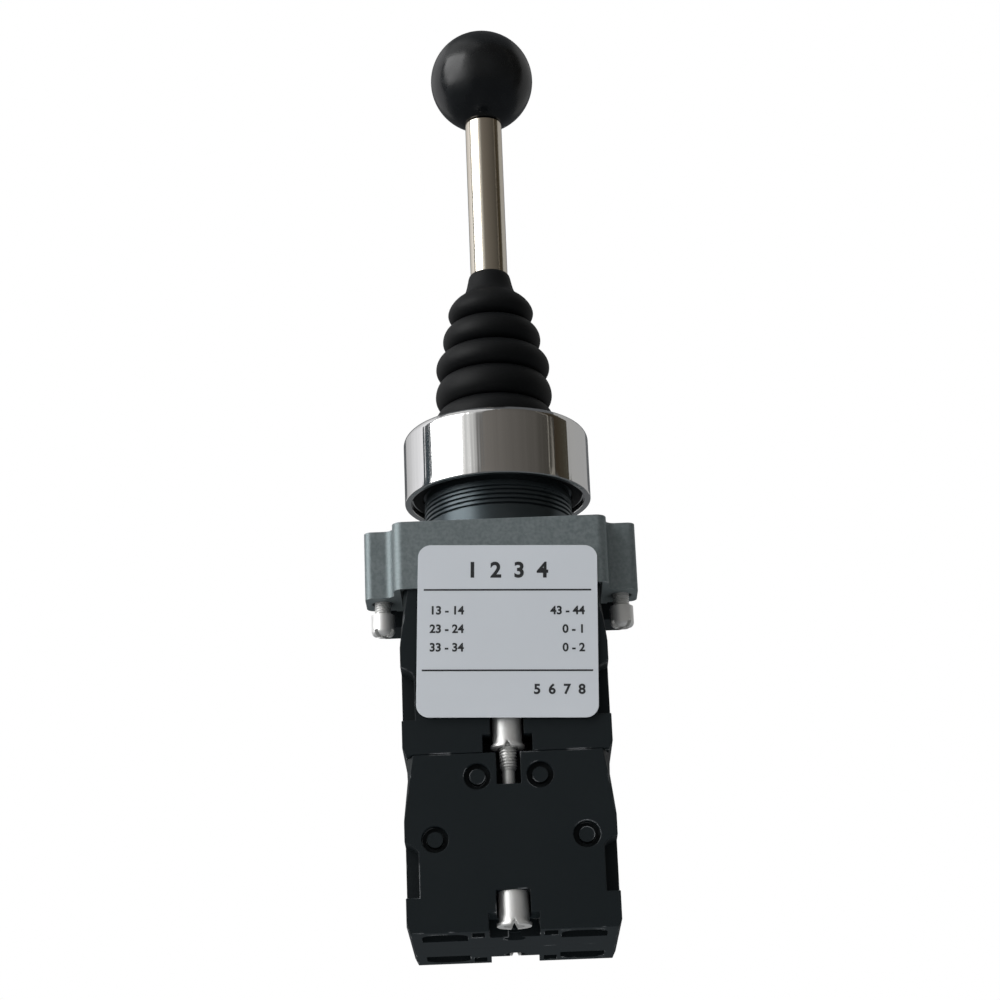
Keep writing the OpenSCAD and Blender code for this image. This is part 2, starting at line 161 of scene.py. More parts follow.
# %% Lamps and cards
soft_box("Window left", -64, 22, 1.3, 1.04, 1.3, 16)
soft_box("Fill right", 62, 30, 1.6, 0.5, 0.5, 1.5, mirrored=False)
soft_box("Top light", 10, 75, 1.4, 1.0, 1.0, 7, mirrored=False)
soft_box("Back light", 170, 35, 1.6, 1.2, 0.8, 7, mirrored=False)
soft_box("Floor glow", -15, -84, 1.4, 1.2, 1.2, 18, mirrored=False)
card("Window head", -63, 63, 1.3, 1.3, 0.72, (0.7, 0.7, 0.7), (0.6, 0.6, 0.6))
card("Curtain edge", -31, 27, 1.9, 0.87, 3.6, (1.2, 1.2, 1.18), (0.11, 0.107, 0.103))
card("Warm room", 27, 27, 2.0, 4.29, 3.7, (0.2, 0.187, 0.172), (0.036, 0.033, 0.027))
card("Door edge", 70.5, 20, 1.9, 0.06, 2.6, (0.35, 0.33, 0.29), (0.35, 0.33, 0.29))
card("Dark frame left", -92.5, 4, 1.2, 0.27, 0.8, (0.04, 0.055, 0.065), (0.04, 0.055, 0.065))
card("Dark frame right", 88.5, 20, 1.2, 0.49, 1.6, (0.038, 0.028, 0.018), (0.06, 0.055, 0.04))
card("Pale wall left", -127, 20, 2.0, 1.8, 2.6, (0.45, 0.45, 0.45), (1.0, 1.0, 1.02))
card("Pale wall right", 124, 20, 2.0, 2.1, 2.6, (0.42, 0.42, 0.41), (0.38, 0.38, 0.38))

# %% Floor and surroundings
HALF_WIDTH, FLOOR_Z = 6, -0.24
corners = [(x * HALF_WIDTH, y * HALF_WIDTH, FLOOR_Z) for x, y in ((-1, -1), (1, -1), (1, 1), (-1, 1))]
floor_mesh = bpy.data.meshes.new("Floor")
floor_mesh.from_pydata(corners, [], [(0, 1, 2, 3)])
floor = placed("Floor", floor_mesh)
floor.visible_diffuse = floor.visible_glossy = floor.visible_shadow = False
paint = bpy.data.materials.new("Pale floor")
paint.use_nodes = True
paint_shader = paint.node_tree.nodes["Principled BSDF"]
paint_shader.inputs["Base Color"].default_value = (0.8, 0.8, 0.8, 1)
paint_shader.inputs["Roughness"].default_value = 0.9
paint_shader.inputs["Emission Color"].default_value = (1, 1, 1, 1)
paint_shader.inputs["Emission Strength"].default_value = 0.8
floor_mesh.materials.append(paint)

world = bpy.data.worlds.new("Studio")
scene.world = world
world.use_nodes = True
tree = world.node_tree
tree.nodes.clear()
path = tree.nodes.new("ShaderNodeLightPath")
out = tree.nodes.new("ShaderNodeOutputWorld")
ROOM_LIGHT, ROOM_IN_CHROME, WHITE = (0.34, 0.35, 0.36), (0.11, 0.115, 0.12), (1, 1, 1)
layers = []
for grey in (ROOM_LIGHT, ROOM_IN_CHROME, WHITE):
    layers.append(tree.nodes.new("ShaderNodeBackground"))
    layers[-1].inputs["Color"].default_value = (*grey, 1)
seen = layers[0].outputs[0]
for ray, layer in (("Is Glossy Ray", layers[1]), ("Is Camera Ray", layers[2])):
    mix = tree.nodes.new("ShaderNodeMixShader")
    tree.links.new(path.outputs[ray], mix.inputs[0])
    tree.links.new(seen, mix.inputs[1])
    tree.links.new(layer.outputs[0], mix.inputs[2])
    seen = mix.outputs[0]
tree.links.new(seen, out.inputs["Surface"])
print("floor at", FLOOR_Z, "m; surroundings in", len(layers), "layers")

# %% [markdown]
# ## Shared surface effects
# Real parts are never one flat value. Three effects return on most of them: the fine grain of a
# moulded or cast skin, straight drawing lines on plated metal, and a lighter colour on the outer edges,
# which is partly wear where hands and tools touch them and partly a painted highlight. Each is a node
# group with its own numbers, so a material only has to say how much it wants.

# %% Node group helper


def new_group(name, inputs, outputs):
    """An empty shader group with float inputs (name: default) and float outputs. Returns the tree, its
    input node and its output node."""
    group = bpy.data.node_groups.new(name, "ShaderNodeTree")
    for label, value in inputs.items():
        socket = group.interface.new_socket(name=label, in_out="INPUT", socket_type="NodeSocketFloat")
        socket.default_value = value
    for label in outputs:
        group.interface.new_socket(name=label, in_out="OUTPUT", socket_type="NodeSocketFloat")
    return group, group.nodes.new("NodeGroupInput"), group.nodes.new("NodeGroupOutput")


def add(tree, kind, **settings):
    """Adds a node and sets its plain properties."""
    made = tree.nodes.new(kind)
    for key, value in settings.items():
        setattr(made, key, value)
    return made


def math_node(tree, operation, a, b):
    """A Math node; a and b are sockets or numbers."""
    made = add(tree, "ShaderNodeMath", operation=operation)
    for socket, value in zip(made.inputs, (a, b)):
        if isinstance(value, (int, float)):
            socket.default_value = value
        else:
            tree.links.new(value, socket)
    return made.outputs[0]


# %% Grain of a moulded or cast skin
grain_group, inside, outside = new_group("Skin grain", {"Scale": 900.0, "Cloud Scale": 40.0},
                                         ["Height", "Cloud"])
place = add(grain_group, "ShaderNodeTexCoord")
fine = add(grain_group, "ShaderNodeTexNoise")
fine.inputs["Detail"].default_value = 3
fine.inputs["Roughness"].default_value = 0.6
cloud = add(grain_group, "ShaderNodeTexNoise")
cloud.inputs["Detail"].default_value = 4
for noise, label in ((fine, "Scale"), (cloud, "Cloud Scale")):
    grain_group.links.new(place.outputs["Object"], noise.inputs["Vector"])
    grain_group.links.new(inside.outputs[label], noise.inputs["Scale"])
grain_group.links.new(fine.outputs[0], outside.inputs["Height"])
grain_group.links.new(cloud.outputs[0], outside.inputs["Cloud"])
print("group", grain_group.name)

# %% Fine lines drawn along the axis
line_group, inside, outside = new_group("Drawn lines", {"Across": 2500.0, "Along": 30.0}, ["Lines"])
place = add(line_group, "ShaderNodeTexCoord")
stretch = add(line_group, "ShaderNodeVectorMath", operation="MULTIPLY")
scales = add(line_group, "ShaderNodeCombineXYZ")
line_group.links.new(inside.outputs["Across"], scales.inputs[0])
line_group.links.new(inside.outputs["Across"], scales.inputs[1])
line_group.links.new(inside.outputs["Along"], scales.inputs[2])
line_group.links.new(place.outputs["Object"], stretch.inputs[0])
line_group.links.new(scales.outputs[0], stretch.inputs[1])
noise = add(line_group, "ShaderNodeTexNoise")
noise.inputs["Scale"].default_value = 1
noise.inputs["Detail"].default_value = 2
line_group.links.new(stretch.outputs[0], noise.inputs["Vector"])
line_group.links.new(noise.outputs[0], outside.inputs["Lines"])
print("group", line_group.name)

# %% Wear and painted highlight on outer edges: a lighter colour, broken up by noise
edge_wear_and_highlight_group, inside, outside = new_group("Edge wear and highlight", {"Amount": 0.5, "Scale": 220.0, "Reach": 0.0003},
                                        ["Worn"])
shape = add(edge_wear_and_highlight_group, "ShaderNodeNewGeometry")
rounded = add(edge_wear_and_highlight_group, "ShaderNodeBevel", samples=4)
edge_wear_and_highlight_group.links.new(inside.outputs["Reach"], rounded.inputs["Radius"])
agree = add(edge_wear_and_highlight_group, "ShaderNodeVectorMath", operation="DOT_PRODUCT")
edge_wear_and_highlight_group.links.new(shape.outputs["Normal"], agree.inputs[0])
edge_wear_and_highlight_group.links.new(rounded.outputs[0], agree.inputs[1])
near_edge = add(edge_wear_and_highlight_group, "ShaderNodeMapRange")
near_edge.inputs["From Min"].default_value = 0.97
near_edge.inputs["From Max"].default_value = 0.9
edge_wear_and_highlight_group.links.new(agree.outputs["Value"], near_edge.inputs["Value"])
place = add(edge_wear_and_highlight_group, "ShaderNodeTexCoord")
noise = add(edge_wear_and_highlight_group, "ShaderNodeTexNoise")
noise.inputs["Detail"].default_value = 3
edge_wear_and_highlight_group.links.new(place.outputs["Object"], noise.inputs["Vector"])
edge_wear_and_highlight_group.links.new(inside.outputs["Scale"], noise.inputs["Scale"])
broken = add(edge_wear_and_highlight_group, "ShaderNodeMapRange")
broken.inputs["From Min"].default_value = 0.56
broken.inputs["From Max"].default_value = 0.64
edge_wear_and_highlight_group.links.new(noise.outputs[0], broken.inputs["Value"])
mask = math_node(edge_wear_and_highlight_group, "MULTIPLY", near_edge.outputs[0], broken.outputs[0])
worn_and_lit_share = math_node(edge_wear_and_highlight_group, "MULTIPLY", mask, inside.outputs["Amount"])
edge_wear_and_highlight_group.links.new(worn_and_lit_share, outside.inputs["Worn"])
print("group", edge_wear_and_highlight_group.name)

# %% [markdown]
# ## Finishes
# Each finish is a Principled shader. Its colour drifts a little between two close tones, its
# roughness drifts with it, and a Bump node carries the grain or the drawn lines. The function below
# builds that common layout, and each finish then passes its own numbers.

# %% A finish with drifting tone, grain, and edges lightened by wear and painted highlight


def finish(name, tone, tone_2, rough, rough_2, metallic=0.0, grain=900.0, cloud=40.0, bump=0.00002,
           worn_and_lit_tone=None, worn_and_lit_amount=0.0, lines=None, line_bump=0.0, specular=0.5):
    """A Principled material. tone and tone_2 are mixed by a slow noise, and so are the two roughness
    values. lines gives the drawn lines' scales across and along the axis."""
    material = bpy.data.materials.new(name)
    material.use_nodes = True
    tree = material.node_tree
    shader = tree.nodes["Principled BSDF"]
    skin = add(tree, "ShaderNodeGroup", node_tree=grain_group)
    skin.inputs["Scale"].default_value = grain
    skin.inputs["Cloud Scale"].default_value = cloud
    spread = add(tree, "ShaderNodeMapRange")
    spread.inputs["From Min"].default_value = 0.35
    spread.inputs["From Max"].default_value = 0.65
    tree.links.new(skin.outputs["Cloud"], spread.inputs["Value"])
    blend = add(tree, "ShaderNodeMix", data_type="RGBA")
    blend.inputs["A"].default_value = (*tone, 1)
    blend.inputs["B"].default_value = (*tone_2, 1)
    tree.links.new(spread.outputs[0], blend.inputs["Factor"])
    colour = blend.outputs["Result"]
    # Outer edges get a lighter colour: partly wear, partly a painted highlight.
    if worn_and_lit_tone:
        wear_and_highlight = add(tree, "ShaderNodeGroup", node_tree=edge_wear_and_highlight_group)
        wear_and_highlight.inputs["Amount"].default_value = worn_and_lit_amount
        over = add(tree, "ShaderNodeMix", data_type="RGBA")
        over.inputs["B"].default_value = (*worn_and_lit_tone, 1)
        tree.links.new(wear_and_highlight.outputs["Worn"], over.inputs["Factor"])
        tree.links.new(colour, over.inputs["A"])
        colour = over.outputs["Result"]
    tree.links.new(colour, shader.inputs["Base Color"])
    rough_mix = add(tree, "ShaderNodeMapRange")
    rough_mix.inputs["From Min"].default_value = 0.3
    rough_mix.inputs["From Max"].default_value = 0.7
    rough_mix.inputs["To Min"].default_value = rough
    rough_mix.inputs["To Max"].default_value = rough_2
    tree.links.new(skin.outputs["Cloud"], rough_mix.inputs["Value"])
    tree.links.new(rough_mix.outputs[0], shader.inputs["Roughness"])
    height = skin.outputs["Height"]
    if lines:
        drawn = add(tree, "ShaderNodeGroup", node_tree=line_group)
        drawn.inputs["Across"].default_value, drawn.inputs["Along"].default_value = lines
        line_height = math_node(tree, "MULTIPLY", drawn.outputs["Lines"], line_bump)
        height = math_node(tree, "ADD", height, line_height)
    raised = add(tree, "ShaderNodeBump")
    raised.inputs["Distance"].default_value = bump
    tree.links.new(height, raised.inputs["Height"])
    tree.links.new(raised.outputs[0], shader.inputs["Normal"])
    shader.inputs["Metallic"].default_value = metallic
    shader.inputs["Specular IOR Level"].default_value = specular
    return material


# %% The finishes of this joystick
knob_black = finish("Knob black", (0.003, 0.0036, 0.0042), (0.005, 0.006, 0.007), 0.16, 0.42,
                    grain=190, cloud=150, bump=0.00007, specular=0.38)
chrome_plate = finish("Chrome plate", (0.80, 0.80, 0.80), (0.76, 0.755, 0.75), 0.07, 0.11, metallic=1,
                      grain=150, cloud=25, bump=0.000002, lines=(420, 9), line_bump=65.0)
lever_plate = finish("Lever plate", (0.80, 0.74, 0.64), (0.76, 0.69, 0.59), 0.14, 0.2, metallic=1,
                     grain=150, cloud=25, bump=0.000002, lines=(60, 4), line_bump=2.0)
bellows_rubber = finish("Bellows rubber", (0.0035, 0.004, 0.0045), (0.006, 0.0065, 0.007), 0.5, 0.62,
                        grain=700, bump=0.00001, specular=0.16)
# The zinc's outer edges are lightened, partly as wear and partly as a painted highlight.
cast_zinc = finish("Cast zinc", (0.17, 0.204, 0.212), (0.225, 0.258, 0.265), 0.46, 0.6, metallic=0.7,
                   grain=700, cloud=1500, bump=0.00004, worn_and_lit_tone=(0.5, 0.52, 0.53), worn_and_lit_amount=0.7)
dark_zinc = finish("Dark zinc", (0.055, 0.07, 0.078), (0.08, 0.096, 0.104), 0.3, 0.38, metallic=0.8,
                   grain=500, cloud=80, bump=0.00001)
# The blocks' outer edges are lightened, partly as wear and partly as a painted highlight.
block_plastic = finish("Block plastic", (0.0086, 0.0118, 0.0134), (0.0094, 0.0126, 0.0142), 0.47, 0.49,
                       grain=1100, cloud=70, bump=0.000016, worn_and_lit_tone=(0.3, 0.31, 0.32), worn_and_lit_amount=0.9,
                       specular=0.13)
nickel = finish("Nickel screws", (0.9, 0.9, 0.88), (0.78, 0.78, 0.77), 0.45, 0.55, metallic=0.75,
                grain=900, cloud=200, bump=0.00001)
steel = finish("Bright steel", (0.5, 0.5, 0.51), (0.42, 0.42, 0.43), 0.28, 0.4, metallic=1,
               grain=700, bump=0.00001)
brass = finish("Brass strip", (0.65, 0.46, 0.2), (0.55, 0.38, 0.16), 0.25, 0.4, metallic=1,
               grain=700, bump=0.00001)
slider_white = finish("Slider white", (0.66, 0.64, 0.56), (0.6, 0.58, 0.5), 0.4, 0.5, bump=0.00001)
label_grey = finish("Label grey", (0.52, 0.545, 0.575), (0.545, 0.57, 0.6), 0.42, 0.5,
                    grain=1500, cloud=30, bump=0.000004)
label_ink = finish("Label ink", (0.012, 0.013, 0.015), (0.02, 0.021, 0.023), 0.5, 0.6,
                   grain=1500, bump=0.000002)
print(len(bpy.data.materials), "materials")

# %% Give the carried-over nodes their finish
SLOT_FINISH = {"knob_plastic": knob_black, "chrome": chrome_plate, "rubber": bellows_rubber,
               "bare_steel": steel, "zinc": cast_zinc, "dark_zinc": dark_zinc, "label": label_grey,
               "black_plastic": block_plastic, "white_plastic": slider_white, "brass": brass,
               "nickel": nickel}
node_slot = {part["node"]: part["material_slot"] for part in frame["record"]["subparts"]}
for node_name, node_object in frame["nodes"].items():
    for holder in node_object.material_slots:
        holder.material = SLOT_FINISH[node_slot[node_name]]
print(len(node_slot), "nodes have a finish")

# %% [markdown]
# ## Surfaces from numbers
# Most of this joystick is turned on a lathe or moulded round. Such a skin is a grid: one direction
# runs along a profile, the other round the axis. The helper below turns a grid of points into a closed
# mesh, and checks by its signed volume that the faces look outwards.

# %% A closed skin from rings of points


def skin(name, rings, material, wrap=False, poles=(None, None), smooth_angle=35):
    """Mesh from an array (rings, points per ring, 3). Each ring closes on itself. wrap joins the last
    ring to the first; otherwise each open end closes on its pole, a point that fans out to the end ring."""
    count, around_count = rings.shape[:2]
    points = rings.reshape(-1, 3)
    i, k = np.meshgrid(np.arange(count if wrap else count - 1), np.arange(around_count), indexing="ij")
    j, m = (i + 1) % count, (k + 1) % around_count
    here, above = i * around_count, j * around_count
    quads = np.stack([here + k, here + m, above + m, above + k], -1).reshape(-1, 4)
    fans = []
    ring = np.arange(around_count)
    for pole, base, step in ((poles[0], 0, -1), (poles[1], (count - 1) * around_count, 1)):
        if pole is not None:
            points = np.vstack([points, pole])
            first, second = base + ring, base + np.roll(ring, -1)
            tip = np.full(around_count, len(points) - 1)
            fans.append(np.stack([first, second, tip] if step == 1 else [second, first, tip], -1))
    fans = np.vstack(fans) if fans else np.zeros((0, 3), int)
    triangles = np.vstack([quads[:, [0, 1, 2]], quads[:, [0, 2, 3]], fans])
    a, b, c = (points[triangles[:, n]] for n in range(3))
    if np.einsum("ij,ij->", a, np.cross(b, c)) < 0:
        quads, fans = quads[:, ::-1], fans[:, ::-1]
    mesh = bpy.data.meshes.new(name)
    mesh.from_pydata(points.tolist(), [], quads.tolist() + fans.tolist())
    mesh.materials.append(material)
    mesh.shade_smooth()
    mesh.set_sharp_from_angle(angle=math.radians(smooth_angle))
    return placed(name, mesh)


def turned(name, profile, material, segments=128, poles=(None, None), wrap=True, **options):
    """A body of revolution about Z: ring point = (r cos t, r sin t, z) for each profile point (r, z),
    in millimetres."""
    profile = np.asarray(profile, float) * MM
    t = np.linspace(0, 2 * np.pi, segments, endpoint=False)
    r, z = profile[:, :1], profile[:, 1:]
    rings = np.stack([r * np.cos(t), r * np.sin(t), z + 0 * t], -1)
    return skin(name, rings, material, wrap=wrap, poles=poles, **options)


def arc(centre, radius, start, end, steps=12):
    """Points (r, z) on a circle about centre, from start to end in degrees."""
    a = np.radians(np.linspace(start, end, steps))
    return np.stack([centre[0] + radius * np.cos(a), centre[1] + radius * np.sin(a)], -1)


def joined(*runs):
    """One profile from several runs of points."""
    return np.vstack([np.atleast_2d(run) for run in runs])


def settle(piece, body, material_slot, *nodes):
    """The piece rides on its body and stands for its CAD nodes."""
    if body:
        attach(piece, body)
    if nodes:
        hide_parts(*nodes)
    print(piece.name, len(piece.data.polygons), "faces")
    return piece


# %% [markdown]
# ## Knob and lever
# The knob is a moulded ball with a flat where it seats on the lever, screwed onto a stud. The lever is
# a plated rod with a small chamfer at its end. Both are lathe shapes, so a profile turned round the
# axis gives them exactly.

# %% Knob
KNOB_Z, KNOB_R, SOCKET_TOP = 97.0, 11.0, 98.2
knob_profile = joined([(3.05, SOCKET_TOP), (3.05, 86.8), (4.0, 86.77)],
                      arc((0, KNOB_Z), KNOB_R, -67, 89, 60))
knob = turned("Knob", knob_profile, knob_black, segments=96, wrap=False,
              poles=((0, 0, SOCKET_TOP * MM), (0, 0, (KNOB_Z + KNOB_R) * MM)))
settle(knob, "lever", "knob_plastic", "ball_knob")

# %% Lever
ROD_R, ROD_LOW, STUD_R, STUD_TOP = 3.9, 3.0, 3.0, 98.0
lever_profile = joined([(3.6, ROD_LOW), (ROD_R, 3.3)], [(ROD_R, z) for z in range(5, 86, 4)],
                       [(ROD_R, 86.3), (3.5, 86.75), (STUD_R, 86.75), (STUD_R, 97.6), (2.6, STUD_TOP)])
lever = turned("Lever", lever_profile, lever_plate, segments=96, wrap=False,
               poles=((0, 0, ROD_LOW * MM), (0, 0, STUD_TOP * MM)))
settle(lever, "lever", "chrome", "lever_rod")

# %% [markdown]
# ## Bellows
# The bellows is one thin rubber moulding: a sleeve that grips the lever, five folds that widen
# downwards, and a flange clamped under the bezel. Each fold has a long shoulder above its crest and a
# short undercut below it, which gives the stacked look. It is made in two lengths that meet in a crease.

# %% Profile of the folds
FOLDS = np.array([(42.1, 8.95), (35.75, 10.2), (29.55, 11.8), (23.25, 12.05), (16.9, 12.4)])
CREASES = np.array([(39.5, 6.9), (33.2, 8.3), (27.0, 9.8), (20.4, 10.1), (14.5, 10.8)])


def fold_side(crest, crease, steps=14):
    """Quarter of a flattened ellipse from crest to crease: z runs evenly with u from 0 to 1, and the
    radius is crease + (crest - crease) * (1 - u * u) to the power 0.6."""
    u = np.sin(np.linspace(0, np.pi / 2, steps))
    z = crest[0] + (crease[0] - crest[0]) * u
    r = crease[1] + (crest[1] - crease[1]) * (1 - u ** 2) ** 0.6
    return np.stack([r, z], -1)


def folds_down(first, last):
    """Outer profile from the crest of one fold down to the crease under another."""
    runs = []
    for n in range(first, last + 1):
        if n > first:
            runs.append(fold_side(FOLDS[n], CREASES[n - 1])[::-1][1:])
        runs.append(fold_side(FOLDS[n], CREASES[n])[1 if n > first else 0:])
    return np.vstack(runs)


def softened(profile, rounds=3):
    """Rounds the sharp creases: each inner point moves to the mean of itself and its neighbours."""
    for _ in range(rounds):
        profile[1:-1] = 0.25 * profile[:-2] + 0.5 * profile[1:-1] + 0.25 * profile[2:]
    return profile


NECK = np.array([(3.98, 50.75), (4.3, 50.6), (4.42, 50.1), (4.52, 49.2), (4.75, 48.2), (5.0, 47.3),
                 (5.2, 46.6), (5.45, 46.1), (5.85, 45.8), (6.5, 45.4), (7.2, 44.9), (7.9, 44.2),
                 (8.45, 43.4), (8.8, 42.7)])
WALL = 1.1
upper_outer = softened(np.vstack([NECK, folds_down(0, 3)]), 2)
upper_inner = upper_outer[::-1] - (WALL, 0)
upper_inner[:, 0] = np.maximum(upper_inner[:, 0], ROD_R + 0.03)
seam_z = CREASES[3][0]
print("upper bellows profile has", len(upper_outer), "outer points")

# %% Two lengths of bellows
upper_profile = joined(upper_outer, upper_inner[upper_inner[:, 1] > seam_z + 0.01])
upper_bellows = turned("Upper_bellows", upper_profile, bellows_rubber, smooth_angle=80)
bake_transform(upper_bellows)
settle(upper_bellows, None, "rubber", "bellows")

last_fold = [fold_side(FOLDS[4], CREASES[3])[::-1], fold_side(FOLDS[4], CREASES[4])[1:]]
foot = [(11.0, 14.1), (12.0, 13.7), (13.6, 13.4), (14.0, 13.0)]
flange = [(14.0, 12.2), (17.0, 12.2), (17.0, 11.0), (12.2, 11.0)]
lower_inside = [(11.2, 12.6), (9.9, 13.9), (9.9, 15.3), (11.1, 16.6), (11.1, 17.4), (10.3, 19.0),
                (upper_outer[-1][0] - WALL, seam_z)]
lower_profile = joined(softened(np.vstack([*last_fold, foot])), flange, lower_inside)
lower_profile[0] = upper_outer[-1]
lower_bellows = turned("Lower_bellows", lower_profile, bellows_rubber, smooth_angle=60)
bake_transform(lower_bellows)
settle(lower_bellows, None, "rubber")

# %% [markdown]
# ## Bezel and gasket
# The bezel is a plated cap with a soft round shoulder and a thin rim that stands on the panel. The
# rim is hollow underneath, where the gasket sits. Its mirror finish makes the profile's radii visible,
# so the rim and the lip get small ones too.

# %% Bezel and gasket
BEZEL_R, SHOULDER, RIM, LIP = 18.95, 2.0, 0.35, 0.3
outside_wall = [(BEZEL_R, z) for z in (2, 4, 6, 8, 10)]
inside_wall = [(14.6, 12.2), (17.33, 12.2), (17.33, 1.5), (17.6, 1.4), (17.6, RIM)]
bezel_profile = joined(arc((BEZEL_R - RIM, RIM), RIM, -90, 0, 6), outside_wall,
                       arc((BEZEL_R - SHOULDER, 12.6), SHOULDER, 0, 90, 20),
                       arc((14.9, 14.3), LIP, 90, 180, 5), inside_wall,
                       arc((17.95, RIM), RIM, 180, 270, 5))
bezel = turned("Bezel", bezel_profile, chrome_plate, segments=256)
settle(bezel, "root", "chrome", "bezel_ring")
gasket_profile = joined(arc((17.0, 1.3), 0.25, 0, -90, 4), arc((15.4, 1.3), 0.25, -90, -180, 4),
                        [(15.15, 1.6), (17.25, 1.6)])
gasket = turned("Gasket", gasket_profile, bellows_rubber)
settle(gasket, "root", "rubber", "panel_gasket")

# %% [markdown]
# ## Barrel with its thread
# The barrel is die-cast, with a fine thread for a lock ring. A real thread is one groove that climbs
# as it goes round, not a stack of rings. So the radius of each outer point depends on its height
# minus its share of a turn: that sum is the phase of the groove.

# %% Barrel
PITCH, CREST, ROOT = 0.95, 15.0, 14.5
THREAD_TOP, THREAD_END = -1.0, -5.6


def thread_radius(z, t, plain, crest=CREST, root=ROOT, pitch=PITCH, top=THREAD_TOP, end=THREAD_END):
    """Radius of a thread: a trapezium wave of the phase z / pitch - t / turn, faded out at both ends."""
    phase = (z / pitch - t / (2 * np.pi)) % 1.0
    wave = np.clip(2.8 * (1 - np.abs(2 * phase - 1)) - 0.5, 0, 1)
    fade = np.clip((top - z) / (0.4 * pitch), 0, 1) * np.clip((z - end) / (0.4 * pitch), 0, 1)
    return plain + fade * (root + (crest - root) * wave - plain)


head = [(17.3, 11.0), (17.3, 1.5), (14.6, 1.5), (14.6, 0.05), (14.9, 0.0), (CREST, -0.1),
        (CREST, THREAD_TOP + 0.1)]
threaded = [(CREST, z) for z in np.linspace(THREAD_TOP + 0.05, THREAD_END - 0.1, 100)]
foot_and_bore = [(CREST, -14.4), (14.9, -14.5), (13.6, -14.5), (13.6, -19.0), (11.6, -19.0), (11.6, -18.0),
                 (12.5, -18.0), (12.5, 0.6), (14.8, 3.6), (14.8, 11.0)]
barrel_profile = joined(head, threaded, foot_and_bore)
angles = np.linspace(0, 2 * np.pi, 192, endpoint=False)
radius, height = barrel_profile[:, :1] + 0 * angles, barrel_profile[:, 1:] + 0 * angles
cut_zone = slice(len(head), len(head) + len(threaded))
radius[cut_zone] = thread_radius(height[cut_zone], angles, CREST)
barrel_rings = np.stack([radius * np.cos(angles), radius * np.sin(angles), height], -1)
barrel = skin("Barrel", barrel_rings * MM, dark_zinc, wrap=True)
settle(barrel, "root", "dark_zinc", "threaded_barrel")

# %% [markdown]
# ## Castings and mouldings with real edges
# The construction model has knife edges. On a casting or a moulding every edge has a small radius, and
# it is the bright line on that radius that makes it look real. A copy of the node is welded, its flat
# faces are merged, and a Bevel modifier rounds the edges that are sharper than 35 degrees.

# %% A copy of a CAD node with rounded edges


def rounded_copy(node, name, width, cut=None):
    """Welded copy of a node with a bevel of the given width in millimetres on its sharp edges. An edge
    loop at the height cut keeps the shading of a screw's head above its slot clear of the slot."""
    work = bmesh.new()
    work.from_mesh(frame["nodes"][node].data)
    bmesh.ops.remove_doubles(work, verts=work.verts, dist=3e-6)
    bmesh.ops.dissolve_limit(work, angle_limit=math.radians(0.5), verts=work.verts, edges=work.edges)
    if cut:
        everything = work.verts[:] + work.edges[:] + work.faces[:]
        bmesh.ops.bisect_plane(work, geom=everything, plane_co=(0, 0, cut * MM), plane_no=(0, 0, 1))
    mesh = bpy.data.meshes.new(name)
    work.to_mesh(mesh)
    work.free()
    if "custom_normal" in mesh.attributes:
        mesh.attributes.remove(mesh.attributes["custom_normal"])
    mesh.materials.clear()
    mesh.materials.append(SLOT_FINISH[node_slot[node]])
    mesh.shade_smooth()
    piece = placed(name, mesh)
    bevel = piece.modifiers.new("Edge radius", "BEVEL")
    bevel.width, bevel.segments = width * MM, 2
    bevel.limit_method, bevel.angle_limit = "ANGLE", math.radians(35)
    bevel.loop_slide = False
    piece.modifiers.new("Flat faces stay flat", "WEIGHTED_NORMAL").mode = "FACE_AREA"
    return piece


# %% Points of a mesh as an array


def points_of(mesh):
    """The mesh's points as rows (x, y, z), in its own unit."""
    flat = np.empty(len(mesh.vertices) * 3)
    mesh.vertices.foreach_get("co", flat)
    return flat.reshape(-1, 3)


def move_points(mesh, points):
    """Puts changed rows back into the mesh."""
    mesh.vertices.foreach_set("co", points.ravel())
    mesh.update()


def deepened(piece, floor_y, new_floor_y):
    """The ring grooves round the rivets get deeper: their floors, at a distance from the middle plane,
    move in to a new distance."""
    points = points_of(piece.data) / MM
    groove_floor = np.abs(np.abs(points[:, 1]) - floor_y) < 0.02
    points[groove_floor, 1] = np.sign(points[groove_floor, 1]) * new_floor_y
    move_points(piece.data, points * MM)


# %% Collar, guide, housings, covers and label
GROOVE_FLOOR, DEEPER_FLOOR = 18.1, 17.45
SIDES = {"front": -1, "back": 1}
ROW_TOP = {"upper": -22.5, "lower": -56.4}
BLOCKS = [(side, row) for row in ROW_TOP for side in SIDES]
EDGES = {"mounting_collar": 0.35, "lower_guide": 0.25, "label_plate": 0.05}
for side, row in BLOCKS:
    EDGES[f"{side}_{row}_housing"] = EDGES[f"{side}_{row}_cover"] = 0.18
for node_name, width in EDGES.items():
    piece = rounded_copy(node_name, node_name.capitalize(), width)
    if node_name.endswith("cover"):
        deepened(piece, GROOVE_FLOOR, DEEPER_FLOOR)
    settle(piece, "root", node_slot[node_name], node_name)

# %% [markdown]
# ## Screws
# The construction model draws a screw's thread as a plain cylinder at the crest. Here that cylinder is
# drawn in to the root, and a sleeve with a climbing thread goes over it. Both kinds of screw get one,
# because both show a few turns between their head and the part they enter.

# %% Slim shanks and threaded sleeves


def slimmed(piece, centres, crest, root, low, high):
    """Points at the crest radius round any centre (x, y), between two heights, move in to the root
    radius."""
    points = points_of(piece.data) / MM
    for x, y in centres:
        away = points[:, :2] - (x, y)
        reach = np.hypot(away[:, 0], away[:, 1])
        hit = (np.abs(reach - crest) < 0.04) & (points[:, 2] > low) & (points[:, 2] < high)
        points[hit, :2] = (x, y) + away[hit] * (root / reach[hit])[:, None]
    move_points(piece.data, points * MM)


